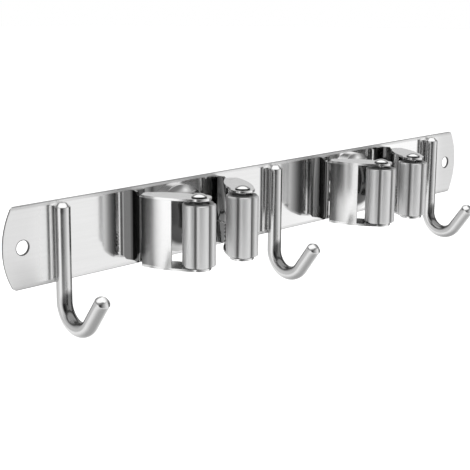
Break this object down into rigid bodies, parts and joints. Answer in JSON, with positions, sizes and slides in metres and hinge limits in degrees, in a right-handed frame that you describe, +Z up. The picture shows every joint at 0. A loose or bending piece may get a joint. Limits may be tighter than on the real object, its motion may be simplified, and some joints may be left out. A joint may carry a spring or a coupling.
{
  "type": "wall mop holder rack",
  "caption": "Polished steel wall plate carrying sprung clips that grip broom handles between fluted rollers, with J-hooks of round rod between and beside them.",
  "frame": {"origin": "on the back face of the wall plate, midway between its two screw holes", "axes": "+X along the plate to the right as seen from the room, +Y into the wall, so that the hooks and clips stand out in -Y, +Z up"},
  "size_m": [0.35, 0.0433, 0.0646],
  "materials": {
    "mirror_steel": "mirror-polished stainless sheet",
    "polished_rod": "polished stainless rod",
    "bracket_steel": "polished stainless sheet",
    "arm_steel": "polished stainless sheet",
    "pin_steel": "bright drawn steel, domed heads",
    "spring_wire": "drawn spring wire",
    "roller_grip": "satin silver-grey grip"
  },
  "bodies": {
    "rack": {"back_plate": "mirror_steel", "left_hook": "polished_rod", "middle_hook": "polished_rod", "right_hook": "polished_rod", "left_clip_bracket": "bracket_steel", "right_clip_bracket": "bracket_steel", "clip_rivets": "pin_steel", "left_clip_left_spring": "spring_wire", "left_clip_right_spring": "spring_wire", "right_clip_left_spring": "spring_wire", "right_clip_right_spring": "spring_wire"},
    "left_clip_left_jaw": {"left_clip_left_arm": "arm_steel", "left_clip_left_pivot_pin": "pin_steel", "left_clip_left_roller_pin": "pin_steel"},
    "left_clip_left_wheel": {"left_clip_left_roller": "roller_grip"},
    "left_clip_right_jaw": {"left_clip_right_arm": "arm_steel", "left_clip_right_pivot_pin": "pin_steel", "left_clip_right_roller_pin": "pin_steel"},
    "left_clip_right_wheel": {"left_clip_right_roller": "roller_grip"},
    "right_clip_left_jaw": {"right_clip_left_arm": "arm_steel", "right_clip_left_pivot_pin": "pin_steel", "right_clip_left_roller_pin": "pin_steel"},
    "right_clip_left_wheel": {"right_clip_left_roller": "roller_grip"},
    "right_clip_right_jaw": {"right_clip_right_arm": "arm_steel", "right_clip_right_pivot_pin": "pin_steel", "right_clip_right_roller_pin": "pin_steel"},
    "right_clip_right_wheel": {"right_clip_right_roller": "roller_grip"}
  },
  "joints": [
    {"name": "left_clip_left_jaw_swing", "type": "hinge", "parent": "rack", "child": "left_clip_left_jaw", "pos_m": [-0.09775, -0.01264, 0], "axis": [0, 0, -1], "range_deg": [0, 24], "stiffness_Nm_per_rad": 0.5, "springref_deg": -20.05, "deforming": ["left_clip_left_spring"]},
    {"name": "left_clip_left_roller_spin", "type": "hinge", "parent": "left_clip_left_jaw", "child": "left_clip_left_wheel", "pos_m": [-0.08475, -0.03516, 0], "axis": [0, 0, 1], "continuous": true},
    {"name": "left_clip_right_jaw_swing", "type": "hinge", "parent": "rack", "child": "left_clip_right_jaw", "pos_m": [-0.04222, -0.01264, 0], "axis": [0, 0, 1], "range_deg": [0, 24], "stiffness_Nm_per_rad": 0.5, "springref_deg": -20.05, "deforming": ["left_clip_right_spring"]},
    {"name": "left_clip_right_roller_spin", "type": "hinge", "parent": "left_clip_right_jaw", "child": "left_clip_right_wheel", "pos_m": [-0.05522, -0.03516, 0], "axis": [0, 0, 1], "continuous": true},
    {"name": "right_clip_left_jaw_swing", "type": "hinge", "parent": "rack", "child": "right_clip_left_jaw", "pos_m": [0.04222, -0.01264, 0], "axis": [0, 0, -1], "range_deg": [0, 24], "stiffness_Nm_per_rad": 0.5, "springref_deg": -20.05, "deforming": ["right_clip_left_spring"]},
    {"name": "right_clip_left_roller_spin", "type": "hinge", "parent": "right_clip_left_jaw", "child": "right_clip_left_wheel", "pos_m": [0.05522, -0.03516, 0], "axis": [0, 0, 1], "continuous": true},
    {"name": "right_clip_right_jaw_swing", "type": "hinge", "parent": "rack", "child": "right_clip_right_jaw", "pos_m": [0.09775, -0.01264, 0], "axis": [0, 0, 1], "range_deg": [0, 24], "stiffness_Nm_per_rad": 0.5, "springref_deg": -20.05, "deforming": ["right_clip_right_spring"]},
    {"name": "right_clip_right_roller_spin", "type": "hinge", "parent": "right_clip_right_jaw", "child": "right_clip_right_wheel", "pos_m": [0.08475, -0.03516, 0], "axis": [0, 0, 1], "continuous": true}
  ]
}
